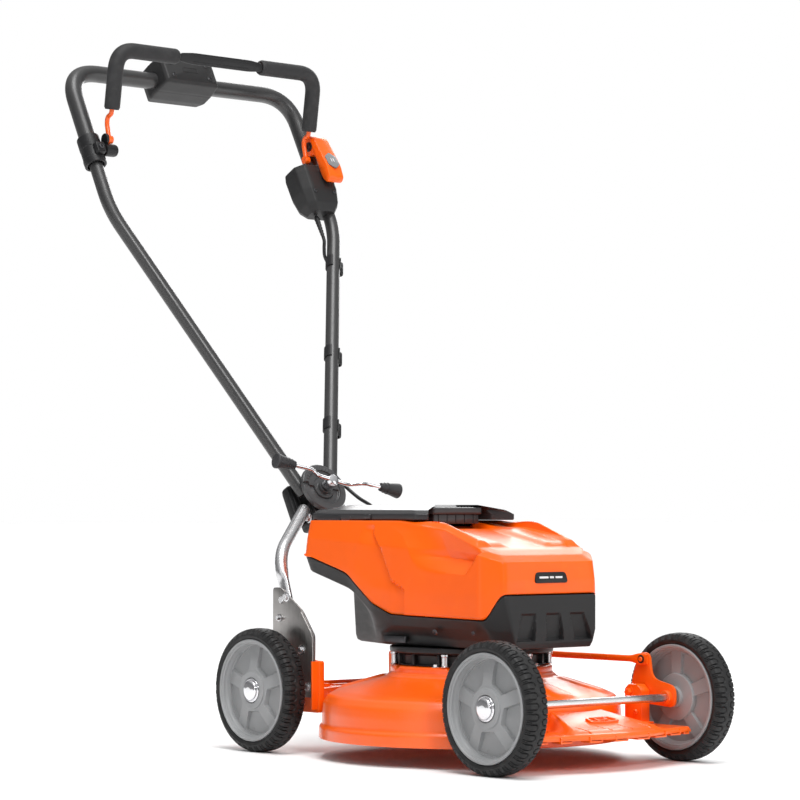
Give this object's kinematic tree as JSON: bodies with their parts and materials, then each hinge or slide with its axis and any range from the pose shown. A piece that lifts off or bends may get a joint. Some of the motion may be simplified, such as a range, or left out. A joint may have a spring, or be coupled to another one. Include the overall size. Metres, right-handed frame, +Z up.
{
  "type": "push lawn mower",
  "caption": "Walk-behind battery mower with a round mulching deck, moulded motor housing, swinging axles and a V-shaped handle with a hinged bail.",
  "frame": {"origin": "on the ground, at the middle of the machine's bounding box in X and Y", "axes": "-Y to the mower's front, +Y to the handle and the operator, +X to the operator's left, +Z up"},
  "size_m": [0.5116, 1.144, 1.1523],
  "materials": {
    "orange_paint": "gloss powder coat",
    "orange_plastic": "satin moulded plastic",
    "dark_plastic": "fine-grained moulded plastic",
    "lid_plastic": "smoked satin plastic",
    "black_plastic": "matt moulded plastic",
    "rim_plastic": "light grey moulded plastic",
    "tube_paint": "dark grey powder coat on tube",
    "disc_steel": "grey coated steel",
    "tyre_rubber": "black moulded rubber",
    "grip_foam": "dark foam rubber",
    "cable_rubber": "black cable sheath",
    "bright_steel": "bright zinc-plated steel",
    "chrome": "polished chrome",
    "blade_steel": "ground blade steel",
    "motor_metal": "cast aluminium can"
  },
  "bodies": {
    "deck": {"deck_shell": "orange_paint", "front_apron": "orange_paint", "rear_frame": "orange_paint", "pivot_block_left": "orange_paint", "pivot_block_right": "orange_paint", "side_plate_left": "bright_steel", "side_plate_right": "bright_steel", "leg_left": "bright_steel", "leg_right": "bright_steel", "pivot_bracket": "black_plastic", "lower_housing": "dark_plastic", "upper_housing": "orange_plastic", "motor": "motor_metal", "neck_adapter": "black_plastic"},
    "rear_swing": {"swing_arm_rear_left": "orange_paint", "swing_arm_rear_right": "orange_paint", "rear_axle": "bright_steel", "height_lever": "tube_paint"},
    "front_swing": {"swing_arm_front_left": "orange_paint", "swing_arm_front_right": "orange_paint", "front_axle": "bright_steel"},
    "link": {"link_rod": "orange_paint"},
    "cutter": {"motor_shaft": "bright_steel", "blade": "blade_steel", "blade_bolt": "bright_steel"},
    "lid": {"battery_lid": "lid_plastic"},
    "latch": {"lid_latch": "lid_plastic"},
    "pack_left": {"battery_left": "black_plastic"},
    "pack_right": {"battery_right": "black_plastic"},
    "clamp_handle": {"t_handle": "chrome", "t_grip_left": "black_plastic", "t_grip_right": "black_plastic"},
    "handle": {"clamp_disc": "disc_steel", "lower_tube_left": "tube_paint", "lower_tube_right": "tube_paint", "cable_upper": "cable_rubber", "cable_lower": "cable_rubber"},
    "upper_handle": {"upper_tube": "tube_paint", "collar_right": "black_plastic", "switch_box": "dark_plastic", "strain_relief": "cable_rubber", "control_housing": "dark_plastic"},
    "bail": {"bail_wire": "orange_paint", "bail_grip_left": "grip_foam", "bail_grip_right": "grip_foam", "bail_link": "dark_plastic"},
    "start": {"start_lever": "orange_plastic"},
    "button": {"power_button": "orange_plastic"},
    "wheel_front_left": {"tyre_front_left": "tyre_rubber", "rim_front_left": "rim_plastic", "hub_cap_front_left": "chrome"},
    "wheel_front_right": {"tyre_front_right": "tyre_rubber", "rim_front_right": "rim_plastic", "hub_cap_front_right": "chrome"},
    "wheel_rear_left": {"tyre_rear_left": "tyre_rubber", "rim_rear_left": "rim_plastic", "hub_cap_rear_left": "chrome"},
    "wheel_rear_right": {"tyre_rear_right": "tyre_rubber", "rim_rear_right": "rim_plastic", "hub_cap_rear_right": "chrome"}
  },
  "joints": [
    {"name": "height_adjust", "type": "hinge", "parent": "deck", "child": "rear_swing", "pos_m": [0, 0.11605, 0.101], "axis": [1, 0, 0], "range_deg": [-14, 13]},
    {"name": "front_height", "type": "hinge", "parent": "deck", "child": "front_swing", "pos_m": [0, -0.41695, 0.101], "axis": [1, 0, 0], "range_deg": [-14, 13]},
    {"name": "link_pivot", "type": "hinge", "parent": "rear_swing", "child": "link", "pos_m": [0.156, 0.10405, 0.15], "axis": [1, 0, 0], "range_deg": [-14, 15]},
    {"name": "blade_spin", "type": "hinge", "parent": "deck", "child": "cutter", "pos_m": [0, -0.22095, 0.047], "axis": [0, 0, 1], "continuous": true},
    {"name": "lid_hinge", "type": "hinge", "parent": "deck", "child": "lid", "pos_m": [0, 0.03505, 0.3573], "axis": [-1, 0, 0], "range_deg": [0, 75]},
    {"name": "latch_lift", "type": "slide", "parent": "lid", "child": "latch", "axis": [0, 0, 1], "range_m": [0, 0.004], "stiffness_N_per_m": 400, "springref_m": -0.002},
    {"name": "pack_left_lift", "type": "slide", "parent": "deck", "child": "pack_left", "axis": [0, 0, 1], "range_m": [0, 0.008]},
    {"name": "pack_right_lift", "type": "slide", "parent": "deck", "child": "pack_right", "axis": [0, 0, 1], "range_m": [0, 0.008]},
    {"name": "clamp_turn", "type": "hinge", "parent": "deck", "child": "clamp_handle", "pos_m": [0, 0.13005, 0.4097], "axis": [0, -0.8838, 0.4679], "range_deg": [-15, 40]},
    {"name": "handle_swing", "type": "hinge", "parent": "deck", "child": "handle", "pos_m": [0, 0.13005, 0.4097], "axis": [0, -0.8838, 0.4679], "range_deg": [-12, 12], "deforming": ["cable_lower"]},
    {"name": "handle_height", "type": "slide", "parent": "handle", "child": "upper_handle", "axis": [0, 0.4679, 0.8838], "range_m": [-0.008, 0.034], "deforming": ["cable_upper"]},
    {"name": "bail_hinge", "type": "hinge", "parent": "upper_handle", "child": "bail", "pos_m": [0, 0.43961, 0.98581], "axis": [-1, 0, 0], "range_deg": [0, 26], "stiffness_Nm_per_rad": 1, "springref_deg": -34.38},
    {"name": "start_hinge", "type": "hinge", "parent": "upper_handle", "child": "start", "pos_m": [0.2182, 0.44242, 1.01035], "axis": [-1, 0, 0], "range_deg": [0, 25], "stiffness_Nm_per_rad": 0.1, "springref_deg": -28.65},
    {"name": "button_press", "type": "slide", "parent": "upper_handle", "child": "button", "axis": [0, -0.4679, -0.8838], "range_m": [0, 0.0012], "stiffness_N_per_m": 800, "springref_m": -0.0004},
    {"name": "wheel_spin_front_left", "type": "hinge", "parent": "front_swing", "child": "wheel_front_left", "pos_m": [0.19, -0.47695, 0.095], "axis": [1, 0, 0], "continuous": true},
    {"name": "wheel_spin_front_right", "type": "hinge", "parent": "front_swing", "child": "wheel_front_right", "pos_m": [-0.19, -0.47695, 0.095], "axis": [1, 0, 0], "continuous": true},
    {"name": "wheel_spin_rear_left", "type": "hinge", "parent": "rear_swing", "child": "wheel_rear_left", "pos_m": [0.19, 0.05605, 0.095], "axis": [1, 0, 0], "continuous": true},
    {"name": "wheel_spin_rear_right", "type": "hinge", "parent": "rear_swing", "child": "wheel_rear_right", "pos_m": [-0.19, 0.05605, 0.095], "axis": [1, 0, 0], "continuous": true}
  ],
  "couplings": [
    {"joint": "front_height", "follows": "height_adjust", "ratio": 1},
    {"joint": "link_pivot", "follows": "height_adjust", "ratio": -1}
  ]
}
